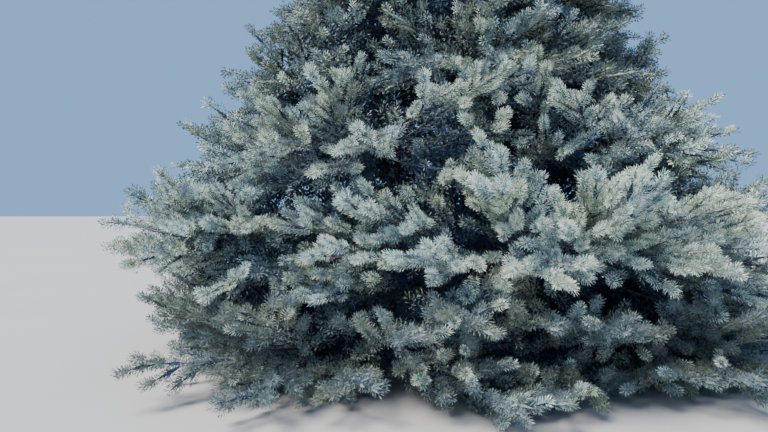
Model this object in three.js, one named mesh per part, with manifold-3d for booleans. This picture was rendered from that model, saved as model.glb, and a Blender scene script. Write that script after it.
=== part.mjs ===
// A blue spruce, 5.2 m tall and about 4.8 m across, rooted in level ground.
// Millimetres, +Z up. The origin is the centre of the flat cut under the trunk.
// One trunk runs up to the leader. Boughs leave it in nine tiers, and each tier lies on a sheet
// that runs out from the trunk, sags, and turns up at its rim. The masses of foliage grow from the
// boughs, or straight from the trunk in the upper tiers. Each keeps to its own sector and tier.
import * as THREE from "three";
import { mergeVertices } from "three/addons/utils/BufferGeometryUtils.js";
import Module from "manifold-3d";

const wasm = await Module();
wasm.setup();

// Crown: the tips reach out to a cone that flares towards the ground and is tucked in at the skirt
const TREE_HEIGHT = 5200;
const CONE_RADIUS = 2700;
const CONE_POWER = 1.15;
const SKIRT_TUCK = 0.2;
const SKIRT_HEIGHT = 450;

// Tiers, counted from 0 at the skirt. A root is where a bough leaves the trunk, a tip is at the rim.
const MASSES_IN_TIER = [5, 5, 5, 5, 4, 4, 3, 3, 3];
const BOUGH_TIERS = 4;
const LOWEST_ROOT = 500;
const ROOT_STEP = 430;
const LOWEST_TIP = 300;
const TIP_STEP = 520;
const ROOT_SLOPE = -0.12;
const ROOT_SLOPE_STEP = 0.05;
const TIP_SLOPE = 0.42;
const FRONT = -Math.PI / 2;
const AZIMUTH_JITTER = 0.06;
const REACH_JITTER = 0.06;
const FULLER_SIDE = 0.11; // above the skirt, how much further the boughs reach towards -X
const WAIST_DEPTH = 0.07; // how much less far they reach at the waist
const WAIST_TIER = 2.6;
const WAIST_TIERS = 1.2;
const STEM_BEND = 0.08;

// Trunk
const TRUNK_TOP = 4740;
const TRUNK_RADIUS = 92;
const TRUNK_TIP_RADIUS = 9;
const TRUNK_SWAY = 16;
const FLARE = 46;
const FLARE_HEIGHT = 110;
const ROOT_LOBES = 5;
const LOBE_DEPTH = 0.16;
const TRUNK_SIDES = 12;
const TRUNK_RINGS = [0, 50, 110, 190, 320, 700, 1300, 2000, 2700, 3400, 4100, TRUNK_TOP];

// Limbs. The ends are shares of the reach: where a bough enters its mass, where the mass's stem ends,
// and where the last twigs leave it.
const BOUGH_END = 0.4;
const BOUGH_RADIUS = 27;
const BOUGH_STEPS = 3;
const STEM_END = 0.8;
const STEM_TIP_RADIUS = 8;
const STEM_STEPS = 4;
const LIMB_SIDES = 5;
const TWIGS_END = 0.76;
const TWIGS_SPAN = 0.26; // the outermost twigs leave the stem this much nearer the trunk
const TWIG_ELBOW = 0.35;
const TWIG_ROOT_RADIUS = 5;
const TWIG_TIP_RADIUS = 3;
const CLEARANCE = 0.3;
const GROUND_CLEARANCE = 15;
const SPACE_MARGIN = 4;

// The core of a mass, from and to a share of the reach. Its width is a share of the room beside the stem.
const CORE_ON_BOUGH = [0.44, 0.86];
const CORE_ON_TRUNK = [0.22, 0.86];
const CORE_WIDTH = 0.62;
const CORE_NOTCH = 0.6;
const CORE_TEETH = 3;
const CORE_DEPTH = 55;

// Sprays: toothed blades, each standing for a fan of shoots. Width, thickness and middle are shares of
// the length, which grows with the reach of the tier.
const SPRAY_LENGTH = 150;
const SPRAY_SHARE = 0.21;
const SPRAY_WIDTH = 0.6;
const SPRAY_THICKNESS = 0.05;
const SPRAY_TEETH = 2;
const SPRAY_MIDDLE = 0.45;
const SPRAY_ROLL = 0.75;

// A repeatable number from -1 to 1 for each pair of whole numbers
function chance(a, b) {
  const wave = Math.sin(a * 12.9898 + b * 78.233) * 43758.5453;
  return (wave - Math.floor(wave)) * 2 - 1;
}

function crownRadius(height) {
  const cone = CONE_RADIUS * Math.max(0, 1 - height / TREE_HEIGHT) ** CONE_POWER;
  return cone * (1 - SKIRT_TUCK * Math.exp(-((height / SKIRT_HEIGHT) ** 2)));
}

// How far a tier's furthest tips stand from the trunk. The tier may be a fraction.
function spanOf(tier) {
  return crownRadius(Math.max(0, LOWEST_TIP + TIP_STEP * tier));
}

function trunkCentre(height) {
  const turn = (height / TRUNK_TOP) * Math.PI;
  return [TRUNK_SWAY * Math.sin(turn), TRUNK_SWAY * Math.sin(2 * turn)];
}

function trunkRadius(height, angle = 0) {
  const taper = Math.max(0, 1 - height / TRUNK_TOP) ** 0.9;
  const flare = FLARE * Math.exp(-height / FLARE_HEIGHT);
  const lobes = 1 + LOBE_DEPTH * Math.exp(-height / FLARE_HEIGHT) * Math.cos(ROOT_LOBES * angle);
  return (TRUNK_TIP_RADIUS + (TRUNK_RADIUS - TRUNK_TIP_RADIUS) * taper + flare) * lobes;
}

// Height of a tier's sheet, a cubic whose share runs from 0 at the trunk to 1 at the rim
function sheetHeight(tier, share) {
  const root = LOWEST_ROOT + ROOT_STEP * tier;
  const tip = LOWEST_TIP + TIP_STEP * tier;
  const span = spanOf(tier);
  const s2 = share * share;
  const s3 = s2 * share;
  return (
    (2 * s3 - 3 * s2 + 1) * root +
    (s3 - 2 * s2 + share) * (ROOT_SLOPE + ROOT_SLOPE_STEP * tier) * span +
    (3 * s2 - 2 * s3) * tip +
    (s3 - s2) * TIP_SLOPE * span
  );
}

// Height of a tier's sheet at a radius, running on up past its rim
function sheetAt(tier, radius) {
  const span = spanOf(tier);
  return sheetHeight(tier, Math.min(1, radius / span)) + Math.max(0, radius - span) * TIP_SLOPE;
}

// A point on a tier's sheet. reach scales the mass that the point belongs to.
function crownPoint(tier, share, azimuth, reach) {
  const radius = share * reach * spanOf(tier);
  return new THREE.Vector3(
    radius * Math.cos(azimuth),
    radius * Math.sin(azimuth),
    sheetHeight(tier, share),
  );
}

// The masses of a tier, each with its azimuth, sector, reach and bend. Every other tier is turned by
// half a sector.
function massesOf(tier) {
  const count = MASSES_IN_TIER[tier];
  const sector = (2 * Math.PI) / count;
  const azimuth = (i) => {
    const jitter = AZIMUTH_JITTER * chance(tier, (i + count) % count);
    return FRONT + sector * (i + (tier % 2 ? 0 : 0.5)) + jitter;
  };
  const fuller = tier ? FULLER_SIDE : 0;
  const waist = WAIST_DEPTH * Math.exp(-(((tier - WAIST_TIER) / WAIST_TIERS) ** 2));
  return Array.from({ length: count }, (_, i) => ({
    tier,
    index: i,
    azimuth: azimuth(i),
    from: (azimuth(i - 1) + azimuth(i)) / 2,
    to: (azimuth(i) + azimuth(i + 1)) / 2,
    reach: 1 - waist + REACH_JITTER * chance(tier + 24, i) - fuller * Math.cos(azimuth(i)),
    bend: STEM_BEND * chance(tier + 40, i),
  }));
}

// The centre line of a mass's bough and stem
function stemPoint(mass, share) {
  return crownPoint(mass.tier, share, mass.azimuth + mass.bend * share * share, mass.reach);
}

// Thickest at the trunk, and thinner on the shorter boughs of the upper tiers
function stemRadius(mass, share) {
  const root = BOUGH_RADIUS * Math.sqrt(spanOf(mass.tier) / CONE_RADIUS);
  return root + (STEM_TIP_RADIUS - root) * (share / STEM_END);
}

class StemCurve extends THREE.Curve {
  constructor(mass, start, end) {
    super();
    Object.assign(this, { mass, start, end });
  }
  getPoint(t, target = new THREE.Vector3()) {
    return target.copy(stemPoint(this.mass, this.start + (this.end - this.start) * t));
  }
}

function solidOf(geometry) {
  const bare = geometry.clone();
  for (const name of Object.keys(bare.attributes)) if (name !== "position") bare.deleteAttribute(name);
  const merged = mergeVertices(bare, 1e-4);
  return new wasm.Manifold(
    new wasm.Mesh({
      numProp: 3,
      vertProperties: merged.attributes.position.array,
      triVerts: new Uint32Array(merged.index.array),
    }),
  );
}

function meshOf(name, solid, material) {
  const made = solid.getMesh();
  const geometry = new THREE.BufferGeometry();
  geometry.setAttribute("position", new THREE.BufferAttribute(made.vertProperties, 3));
  geometry.setIndex(new THREE.BufferAttribute(made.triVerts, 1));
  geometry.computeVertexNormals();
  const mesh = new THREE.Mesh(geometry, material);
  mesh.name = name;
  return mesh;
}

// The stretch of a mass's bough or stem between two shares: a cone bent along its centre line
function limb(mass, start, end, steps) {
  const curve = new StemCurve(mass, start, end);
  const radii = [stemRadius(mass, end), stemRadius(mass, start)];
  const geometry = new THREE.CylinderGeometry(...radii, 1, LIMB_SIDES, steps);
  const places = geometry.attributes.position;
  const up = new THREE.Vector3(0, 0, 1);
  for (let i = 0; i < places.count; i++) {
    const along = curve.getTangent(places.getY(i) + 0.5);
    const across = new THREE.Vector3().crossVectors(along, up).normalize();
    const raised = new THREE.Vector3().crossVectors(across, along);
    const point = curve.getPoint(places.getY(i) + 0.5);
    point.addScaledVector(across, places.getX(i)).addScaledVector(raised, places.getZ(i));
    places.setXYZ(i, point.x, point.y, point.z);
  }
  return solidOf(geometry);
}

// The trunk, or with a clearance the space that its neighbours are cut back from
function trunkSolid(clearance = 0) {
  const rings = TRUNK_RINGS.length - 1;
  const geometry = new THREE.CylinderGeometry(1, 1, rings, TRUNK_SIDES, rings);
  const places = geometry.attributes.position;
  for (let i = 0; i < places.count; i++) {
    const height = TRUNK_RINGS[Math.round(places.getY(i) + rings / 2)];
    const [x, y] = trunkCentre(height);
    const angle = Math.atan2(-places.getZ(i), places.getX(i));
    const share = Math.hypot(places.getX(i), places.getZ(i));
    const radius = share * (trunkRadius(height, angle) + clearance);
    places.setXYZ(i, x + radius * Math.cos(angle), y + radius * Math.sin(angle), height);
  }
  return solidOf(geometry);
}

// Outline of one side of a spray, as pairs of share along and share across: a notch between two teeth
function sprayOutline() {
  const side = [];
  for (let tooth = 0; tooth < SPRAY_TEETH; tooth++) {
    const along = (tooth + 0.85) / (SPRAY_TEETH + 0.3);
    const across = Math.sin(Math.PI * (0.2 + 0.6 * along)) * (1.05 - 0.3 * along * along);
    if (tooth) side.push([along - 0.22, across * 0.5]);
    side.push([along, across]);
  }
  return side;
}

// A three-sided twig that ends in a toothed blade, as one closed surface. The blade is thickest at its
// middle, where its outline meets one point above and one below.
function twigAndSpray(start, root, tip, roll) {
  const forward = tip.clone().sub(root).normalize();
  const across = new THREE.Vector3(0, 0, 1).cross(forward).normalize().applyAxisAngle(forward, roll);
  const places = [];
  const add = (point, along, y, z) => {
    const side = across.clone().projectOnPlane(along).normalize();
    const raised = along.clone().cross(side);
    return places.push(point.clone().addScaledVector(side, y).addScaledVector(raised, z)) - 1;
  };
  const section = (point, along, radius) => [
    add(point, along, radius, -radius / 2),
    add(point, along, 0, radius),
    add(point, along, -radius, -radius / 2),
  ];
  const from = section(start, root.clone().sub(start).normalize(), TWIG_ROOT_RADIUS);
  const to = section(root, forward, TWIG_TIP_RADIUS);
  const faces = [from[0], from[2], from[1]];
  for (let i = 0; i < 3; i++) {
    const next = (i + 1) % 3;
    faces.push(from[i], from[next], to[i], from[next], to[next], to[i]);
  }

  const length = root.distanceTo(tip);
  const width = (length * SPRAY_WIDTH) / 2;
  const thick = (length * SPRAY_THICKNESS) / 2;
  const onBlade = (along, y, z) => add(root.clone().lerp(tip, along), forward, y, z);
  const half = sprayOutline();
  const left = half.map(([along, share]) => onBlade(along, share * width, 0));
  const right = half.map(([along, share]) => onBlade(along, -share * width, 0));
  const edge = [to[0], ...left, onBlade(1, 0, 0), ...right.reverse(), to[2]];
  const round = [...edge, to[1]];
  const above = onBlade(SPRAY_MIDDLE, 0, thick);
  const below = onBlade(SPRAY_MIDDLE, 0, -thick);
  round.forEach((_, i) => faces.push(round[(i + 1) % round.length], round[i], above));
  edge.forEach((_, i) => faces.push(edge[i], edge[(i + 1) % edge.length], below));
  return new THREE.BufferGeometry().setFromPoints(places).setIndex(faces);
}

// True if every point lies in the mass's own space: inside its sector, between the sheets halfway to
// the next tiers, clear of the trunk and above the ground
function inSpace(mass, geometry) {
  const places = geometry.attributes.position;
  for (let i = 0; i < places.count; i++) {
    const [x, y, z] = [places.getX(i), places.getY(i), places.getZ(i)];
    const radius = Math.hypot(x, y);
    const turn = Math.atan2(y, x) - (mass.from + mass.to) / 2;
    const off = Math.abs(turn - 2 * Math.PI * Math.round(turn / (2 * Math.PI)));
    const room = Math.min(
      radius - trunkRadius(z) - TRUNK_SWAY,
      ((mass.to - mass.from) / 2 - off) * radius,
      sheetAt(mass.tier + 0.5, radius) - z,
      mass.tier ? z - sheetAt(mass.tier - 0.5, radius) : z - GROUND_CLEARANCE,
    );
    if (room < SPACE_MARGIN) return false;
  }
  return true;
}

// The rule of branching: where the side twigs of a mass leave its stem and where their sprays end.
// Two rows of twigs end at the rim, above and below the stem, staggered across the sector, and a row
// of shorter ones fills the top of the mass nearer the trunk.
function twigsOf(mass) {
  const wide = mass.tier < 6 ? 4 : mass.tier < 8 ? 3 : 2;
  const rows = [
    { count: wide, level: 0.24, end: 1, spread: 0.95 },
    { count: wide - 1, level: -0.24, end: 0.97, spread: 0.74 },
    { count: 2, level: 0.34, end: 0.74, spread: 0.8 },
  ];
  const twigs = [];
  rows.forEach((row, r) => {
    for (let j = 0; j < row.count; j++) {
      const seed = mass.tier * 100 + mass.index * 10 + r;
      const share = ((2 * j + 1 + 0.1 * chance(seed, j)) / row.count - 1) * row.spread;
      const azimuth = (mass.from + mass.to + share * (mass.to - mass.from)) / 2;
      const end = row.end * (1 + 0.06 * chance(seed, j + 50)) * (1 - 0.07 * share * share);
      const level = row.level * (1 + 0.2 * chance(seed, j + 70));
      twigs.push({
        leaves: row.end * (TWIGS_END - TWIGS_SPAN * Math.abs(share)),
        azimuth,
        end,
        level,
        roll: SPRAY_ROLL * (j % 2 ? 1 : -1) * (0.7 + 0.3 * chance(seed, j + 90)),
      });
    }
  });
  return twigs;
}

// A twig leaves the stem forwards and bends out, and its spray lies straight on from it.
function twigGeometry(mass, twig) {
  const start = stemPoint(mass, twig.leaves);
  const ahead = stemPoint(mass, twig.leaves + 0.02).sub(start).normalize();
  const tip = crownPoint(mass.tier + twig.level, twig.end, twig.azimuth, mass.reach);
  const out = tip.clone().sub(start).normalize();
  const toElbow = TWIG_ELBOW * tip.distanceTo(start);
  const elbow = start.clone().addScaledVector(out.add(ahead).normalize(), toElbow);
  const length = SPRAY_LENGTH + SPRAY_SHARE * spanOf(mass.tier);
  const root = tip.clone().lerp(elbow, Math.min(length / elbow.distanceTo(tip), 0.95));
  return twigAndSpray(start, root, tip, twig.roll);
}

// The smaller core of a mass, where its inner shoots stand too close to tell apart: a toothed pad along
// the stem. Its sections are diamonds, and it runs to a point at both ends.
function coreGeometry(mass) {
  const [first, last] = mass.tier < BOUGH_TIERS ? CORE_ON_BOUGH : CORE_ON_TRUNK;
  const reach = mass.reach * spanOf(mass.tier);
  const sections = 2 * CORE_TEETH;
  const places = [stemPoint(mass, first)];
  for (let k = 0; k < sections; k++) {
    const along = (k + 1) / (sections + 1);
    const share = first + (last - first) * along;
    const point = stemPoint(mass, share);
    const ahead = stemPoint(mass, share + 0.02).sub(point).normalize();
    const across = new THREE.Vector3(0, 0, 1).cross(ahead).normalize();
    const normal = new THREE.Vector3().crossVectors(ahead, across);
    const swell = Math.sin(Math.PI * Math.sqrt(along)) ** 0.7;
    const room = Math.min(1, (share * (mass.to - mass.from)) / 2) * reach;
    const wide = CORE_WIDTH * room * swell * (k % 2 ? 1 : CORE_NOTCH);
    const deep = CORE_DEPTH * swell * (reach / CONE_RADIUS) ** 0.5;
    for (const [y, z] of [[wide, 0], [0, deep], [-wide, 0], [0, -deep]]) {
      places.push(point.clone().addScaledVector(across, y).addScaledVector(normal, z));
    }
  }
  places.push(stemPoint(mass, last));
  const faces = [];
  const end = places.length - 1;
  for (let i = 0; i < 4; i++) {
    const next = (i + 1) % 4;
    faces.push(0, 1 + next, 1 + i, end, end - 4 + i, end - 4 + next);
    for (let k = 0; k < sections - 1; k++) {
      const [a, b] = [1 + 4 * k, 5 + 4 * k];
      faces.push(a + i, a + next, b + i, a + next, b + next, b + i);
    }
  }
  return new THREE.BufferGeometry().setFromPoints(places).setIndex(faces);
}

function massSolid(mass, clearTrunk) {
  const onBough = mass.tier < BOUGH_TIERS;
  const clear = CLEARANCE / (mass.reach * spanOf(mass.tier));
  const stem = limb(mass, onBough ? BOUGH_END + clear : 0, STEM_END, STEM_STEPS);
  const twigs = twigsOf(mass).map((twig) => twigGeometry(mass, twig));
  return wasm.Manifold.union([
    onBough ? stem : stem.subtract(clearTrunk),
    solidOf(coreGeometry(mass)),
    ...twigs.filter((twig) => inSpace(mass, twig)).map(solidOf),
  ]);
}

// The leader mass: a stem on from the trunk's tip, with whorls of sprays that rise more steeply upwards
function leaderSolid() {
  const [x, y] = trunkCentre(TRUNK_TOP);
  const at = (height) => new THREE.Vector3(x, y, height);
  const whorls = [
    { height: TRUNK_TOP + 30, count: 4, length: 260, rise: 0.35 },
    { height: TRUNK_TOP + 170, count: 3, length: 180, rise: 0.75 },
    { height: TRUNK_TOP + 290, count: 2, length: 130, rise: 1.1 },
  ];
  const stemTop = TREE_HEIGHT - 60;
  const stem = new THREE.CylinderGeometry(3, TRUNK_TIP_RADIUS, stemTop - TRUNK_TOP - CLEARANCE, LIMB_SIDES);
  stem.rotateX(Math.PI / 2).translate(x, y, (stemTop + TRUNK_TOP + CLEARANCE) / 2);
  const pieces = [solidOf(stem)];
  whorls.forEach(({ height, count, length, rise }, w) => {
    for (let i = 0; i < count; i++) {
      const azimuth = FRONT + (2 * Math.PI * (i + 0.4 * w)) / count;
      const out = new THREE.Vector3(
        Math.cos(azimuth) * Math.cos(rise),
        Math.sin(azimuth) * Math.cos(rise),
        Math.sin(rise),
      );
      const start = at(height + 15 * i);
      const root = start.clone().addScaledVector(out, length * 0.2);
      const tip = start.clone().addScaledVector(out, length);
      const roll = SPRAY_ROLL * chance(w + 500, i);
      pieces.push(solidOf(twigAndSpray(start, root, tip, roll)));
    }
  });
  const foot = at(TREE_HEIGHT - 190);
  const top = new THREE.Vector3(x + 1, y, TREE_HEIGHT);
  pieces.push(solidOf(twigAndSpray(foot, foot.clone().lerp(top, 0.15), top, 0)));
  return wasm.Manifold.union(pieces);
}

const bark = new THREE.MeshStandardMaterial({ color: 0x5b4a3e, roughness: 0.95, metalness: 0 });
const needles = new THREE.MeshStandardMaterial({ color: 0x76908c, roughness: 0.7, metalness: 0 });

const tree = new THREE.Group();
tree.add(meshOf("trunk", trunkSolid(), bark));
const clearTrunk = trunkSolid(CLEARANCE);
for (let tier = 0; tier < MASSES_IN_TIER.length; tier++) {
  for (const mass of massesOf(tier)) {
    const place = `${tier + 1}_${mass.index + 1}`;
    if (tier < BOUGH_TIERS) {
      const bough = limb(mass, 0, BOUGH_END, BOUGH_STEPS).subtract(clearTrunk);
      tree.add(meshOf(`bough_${place}`, bough, bark));
    }
    tree.add(meshOf(`foliage_${place}`, massSolid(mass, clearTrunk), needles));
  }
}
tree.add(meshOf("foliage_leader", leaderSolid(), needles));

export default tree;
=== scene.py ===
# %% [markdown]
# # A blue spruce, from its bark to its buds
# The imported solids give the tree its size, its limbs and its space. This lesson grows the fine parts on
# them: bark with relief, twigs, shoots, needles and buds. Real needles number in the millions, so each
# one here stands for a few and is wider than life, the more so the farther it is from the camera.

# %% Load the frame
import math

import bpy
import numpy as np
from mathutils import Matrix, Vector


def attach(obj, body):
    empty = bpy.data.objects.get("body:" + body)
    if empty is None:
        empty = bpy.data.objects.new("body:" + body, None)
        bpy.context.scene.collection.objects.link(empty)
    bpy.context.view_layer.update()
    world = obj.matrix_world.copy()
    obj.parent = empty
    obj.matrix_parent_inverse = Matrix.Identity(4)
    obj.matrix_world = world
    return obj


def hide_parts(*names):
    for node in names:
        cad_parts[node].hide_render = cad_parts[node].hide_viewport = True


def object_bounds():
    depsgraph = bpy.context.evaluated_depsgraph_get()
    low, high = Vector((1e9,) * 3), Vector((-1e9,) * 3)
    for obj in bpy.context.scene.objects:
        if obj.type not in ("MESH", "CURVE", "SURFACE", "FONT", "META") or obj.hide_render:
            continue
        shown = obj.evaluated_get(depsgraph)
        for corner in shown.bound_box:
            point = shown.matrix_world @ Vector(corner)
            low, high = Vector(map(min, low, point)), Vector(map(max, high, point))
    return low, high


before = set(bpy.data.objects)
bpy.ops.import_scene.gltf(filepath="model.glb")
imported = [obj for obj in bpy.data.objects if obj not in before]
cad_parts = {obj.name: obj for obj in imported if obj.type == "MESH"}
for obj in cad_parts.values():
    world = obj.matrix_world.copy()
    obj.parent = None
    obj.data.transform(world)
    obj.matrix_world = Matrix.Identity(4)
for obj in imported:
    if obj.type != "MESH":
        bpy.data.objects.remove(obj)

cad_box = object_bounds()
print("solids from", [round(x, 3) for x in cad_box[0]], "to", [round(x, 3) for x in cad_box[1]])

# %% [markdown]
# ## The camera
# The photograph was taken from a little over four metres, with the lens level and lower than a
# standing eye, so the horizon runs through the middle of the picture. A camera that looks straight
# along Y keeps upright things upright. The focal length follows from the size of a shoot in the picture
# and its real thickness.

# %% Place the camera
PHOTO_WIDTH = 768
FOCAL_PIXELS = 580
SENSOR_WIDTH = 36
EYE = (-0.645, -4.4, 0.86)

lens = bpy.data.cameras.new("camera")
lens.sensor_width = SENSOR_WIDTH
lens.lens = FOCAL_PIXELS / PHOTO_WIDTH * SENSOR_WIDTH
camera = bpy.data.objects.new("camera", lens)
camera.location = EYE
camera.rotation_euler = (math.pi / 2, 0, 0)
bpy.context.collection.objects.link(camera)
bpy.context.scene.camera = camera
print("lens of", round(lens.lens, 2), "mm at", EYE)

# %% [markdown]
# ## Arithmetic with sockets
# A material is a small program made of nodes. Wrapping a socket in a class lets a formula be written as
# a Python expression, which adds the Math nodes itself. Colours go through Mix nodes, because a Math
# node would turn them grey.

# %% Define the socket class
class Socket:
    """One output socket of a material's nodes, with arithmetic."""

    def __init__(self, tree, output=None):
        self.tree = tree
        self.output = output

    def node(self, kind, settings, inputs, output=0):
        """Adds any node: its settings first, then the values or links of its inputs."""
        made = self.tree.nodes.new(kind)
        for name, value in settings.items():
            setattr(made, name, value)
        for name, value in inputs.items():
            if isinstance(value, Socket):
                self.tree.links.new(value.output, made.inputs[name])
            else:
                made.inputs[name].default_value = value
        return Socket(self.tree, made.outputs[output])

    def __add__(self, other):
        return self.node("ShaderNodeMath", {"operation": "ADD"}, {0: self, 1: other})

    def __mul__(self, other):
        return self.node("ShaderNodeMath", {"operation": "MULTIPLY"}, {0: self, 1: other})

    def __sub__(self, other):
        return self.node("ShaderNodeMath", {"operation": "SUBTRACT"}, {0: self, 1: other})

    def __rsub__(self, other):
        return self.node("ShaderNodeMath", {"operation": "SUBTRACT"}, {0: other, 1: self})

    __radd__ = __add__
    __rmul__ = __mul__

    def ramp(self, low, high):
        """0 below low, 1 above high, and a straight line from one to the other."""
        return self.node("ShaderNodeMapRange", {}, {"Value": self, "From Min": low, "From Max": high})

    def mix(self, first, second):
        """The first colour where this is 0 and the second where it is 1."""
        inputs = {0: self, 6: first, 7: second}
        return self.node("ShaderNodeMix", {"data_type": "RGBA"}, inputs, output=2)


# %% Define the helpers for materials
def linear(red, green, blue):
    """A colour given as 0 to 255 on a screen, as the light it stands for: a little is added to each
    share, the sum is scaled back to one, and then raised to a power."""
    return tuple(((x / 255 + 0.055) / 1.055) ** 2.4 for x in (red, green, blue)) + (1,)


def new_material(name, roughness):
    """A material, its shader, and a socket to start expressions from."""
    material = bpy.data.materials.new(name)
    material.use_nodes = True
    shader = material.node_tree.nodes["Principled BSDF"]
    shader.inputs["Roughness"].default_value = roughness
    return material, shader, Socket(material.node_tree)


def feed(shader, name, value):
    """Links a socket to one of the shader's inputs."""
    value.tree.links.new(value.output, shader.inputs[name])


def noise_at(start, scale, detail=2.0, roughness=0.5):
    """Noise from 0 to 1 in the object's own coordinates. Scale is in waves a metre."""
    place = start.node("ShaderNodeTexCoord", {}, {}, output="Object")
    inputs = {"Vector": place, "Scale": scale, "Detail": detail, "Roughness": roughness}
    return start.node("ShaderNodeTexNoise", {}, inputs)


# %% [markdown]
# ## Floor and light
# Soft light makes the tops of the shoots pale in the photograph, and the gaps between the layers are
# almost black, with a trace of blue. Here one wide, slightly warm light comes from the upper left, a
# little in front of the tree. A dimmer blue sky all round fills the shadows. The floor is plain.

# %% Lay the floor
FLOOR_SIDE = 2000
FLOOR_PATCHES = 0.7
FLOOR_ROUGHNESS = 0.8

half = FLOOR_SIDE / 2
floor_corners = [(-half, -half, 0), (half, -half, 0), (half, half, 0), (-half, half, 0)]
floor_mesh = bpy.data.meshes.new("floor")
floor_mesh.from_pydata(floor_corners, [], [(0, 1, 2, 3)])
floor = bpy.data.objects.new("floor", floor_mesh)
bpy.context.collection.objects.link(floor)
floor_finish, floor_shader, floor_start = new_material("pale_floor", FLOOR_ROUGHNESS)
patches = noise_at(floor_start, FLOOR_PATCHES)
feed(floor_shader, "Base Color", patches.mix(linear(176, 177, 177), linear(186, 186, 185)))
floor_mesh.materials.append(floor_finish)
print("floor", FLOOR_SIDE, "m wide")

# %% Hang the lights
KEY_ANGLE = math.radians(30)
KEY_TURN = (math.radians(31), math.radians(-17), math.radians(-32))
KEY_STRENGTH = 7.7
KEY_COLOR = (1.0, 0.912, 0.827)
SKY_STRENGTH = 0.75
SKY_COLOR = (0.36, 0.67, 1.14, 1)

key = bpy.data.lights.new("key", "SUN")
key.energy = KEY_STRENGTH
key.angle = KEY_ANGLE
key.color = KEY_COLOR
key_object = bpy.data.objects.new("key", key)
key_object.rotation_euler = KEY_TURN
bpy.context.collection.objects.link(key_object)

sky = bpy.data.worlds.new("sky")
sky.use_nodes = True
background = sky.node_tree.nodes["Background"]
background.inputs["Color"].default_value = SKY_COLOR
background.inputs["Strength"].default_value = SKY_STRENGTH
bpy.context.scene.world = sky
print("key", KEY_STRENGTH, "sky", SKY_STRENGTH)

# %% [markdown]
# ## The rule of growth
# The solids were grown by a rule, and the fine parts have to grow on from them, so the same rule is
# written here in metres. Tips reach out to a cone. Each tier of boughs lies on a sheet that sags from
# the trunk and turns up at its rim. Chance is a repeatable number for each pair of whole numbers.

# %% Write the rule again
TREE_HEIGHT = cad_box[1].z
CONE_RADIUS = 2.7
CONE_POWER = 1.15
SKIRT_TUCK = 0.2
SKIRT_HEIGHT = 0.45
MASSES_IN_TIER = [5, 5, 5, 5, 4, 4, 3, 3, 3]
LOWEST_ROOT = 0.5
ROOT_STEP = 0.43
LOWEST_TIP = 0.3
TIP_STEP = 0.52
ROOT_SLOPE = -0.12
ROOT_SLOPE_STEP = 0.05
TIP_SLOPE = 0.42


def chance(a, b):
    """From -1 to 1: the part after the point of a large wave, stretched."""
    wave = np.sin(a * 12.9898 + b * 78.233) * 43758.5453
    return (wave - np.floor(wave)) * 2 - 1


def crown_radius(height):
    """A cone with a slightly hollow side, tucked in near the ground by a bell curve."""
    cone = CONE_RADIUS * np.maximum(0, 1 - height / TREE_HEIGHT) ** CONE_POWER
    return cone * (1 - SKIRT_TUCK * np.exp(-((height / SKIRT_HEIGHT) ** 2)))


def span_of(tier):
    """How far the tips of a tier stand from the trunk."""
    return crown_radius(np.maximum(0, LOWEST_TIP + TIP_STEP * tier))


def sheet_height(tier, share):
    """A cubic that leaves the trunk at one height and slope and reaches the rim at another."""
    s2 = share**2
    s3 = share**3
    root = (2 * s3 - 3 * s2 + 1) * (LOWEST_ROOT + ROOT_STEP * tier)
    tip = (3 * s2 - 2 * s3) * (LOWEST_TIP + TIP_STEP * tier)
    slopes = (s3 - 2 * s2 + share) * (ROOT_SLOPE + ROOT_SLOPE_STEP * tier) + (s3 - s2) * TIP_SLOPE
    return root + tip + slopes * span_of(tier)


def crown_point(tier, share, azimuth, reach):
    """A point on a tier's sheet, at a share of the way out to the rim."""
    radius = share * reach * span_of(tier)
    ways = (radius * np.cos(azimuth), radius * np.sin(azimuth), sheet_height(tier, share))
    return np.stack(np.broadcast_arrays(*ways), axis=-1)


print("tiers reach", [round(float(span_of(tier)), 2) for tier in range(len(MASSES_IN_TIER))], "m")

# %% List the masses
FRONT = -math.pi / 2
AZIMUTH_JITTER = 0.06
REACH_JITTER = 0.06
FULLER_SIDE = 0.11
WAIST_DEPTH = 0.07
WAIST_TIER = 2.6
WAIST_TIERS = 1.2
STEM_BEND = 0.08


def masses_of(tier):
    """Each mass of a tier with its azimuth, sector, reach and bend, as the solids have them. The sectors
    of one tier are offset by half from those of the next."""
    count = MASSES_IN_TIER[tier]
    index = np.arange(count)
    sector = 2 * math.pi / count
    offset = 0 if tier % 2 else 0.5
    azimuth = FRONT + sector * (index + offset) + AZIMUTH_JITTER * chance(tier, index)
    before = np.roll(azimuth, 1) - 2 * math.pi * (index == 0)
    after = np.roll(azimuth, -1) + 2 * math.pi * (index == count - 1)
    fuller = FULLER_SIDE if tier else 0
    waist = WAIST_DEPTH * math.exp(-(((tier - WAIST_TIER) / WAIST_TIERS) ** 2))
    return {
        "tier": np.full(count, tier),
        "index": index,
        "azimuth": azimuth,
        "from": (before + azimuth) / 2,
        "to": (azimuth + after) / 2,
        "reach": 1 - waist + REACH_JITTER * chance(tier + 24, index) - fuller * np.cos(azimuth),
        "bend": STEM_BEND * chance(tier + 40, index),
    }


def joined(tables):
    """Several tables of columns as one."""
    return {name: np.concatenate([table[name] for table in tables]) for name in tables[0]}


def picked(table, which):
    """The rows of a table that a mask or a list of numbers names."""
    return {name: column[which] for name, column in table.items()}


def stem_point(mass, share):
    """The centre line of a bough and stem: out along its azimuth, bending a little as it goes."""
    azimuth = mass["azimuth"] + mass["bend"] * share**2
    return crown_point(mass["tier"], share, azimuth, mass["reach"])


masses = joined([masses_of(tier) for tier in range(len(MASSES_IN_TIER))])
masses["number"] = np.arange(len(masses["tier"]))
print(len(masses["tier"]), "masses in", len(MASSES_IN_TIER), "tiers")

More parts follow.
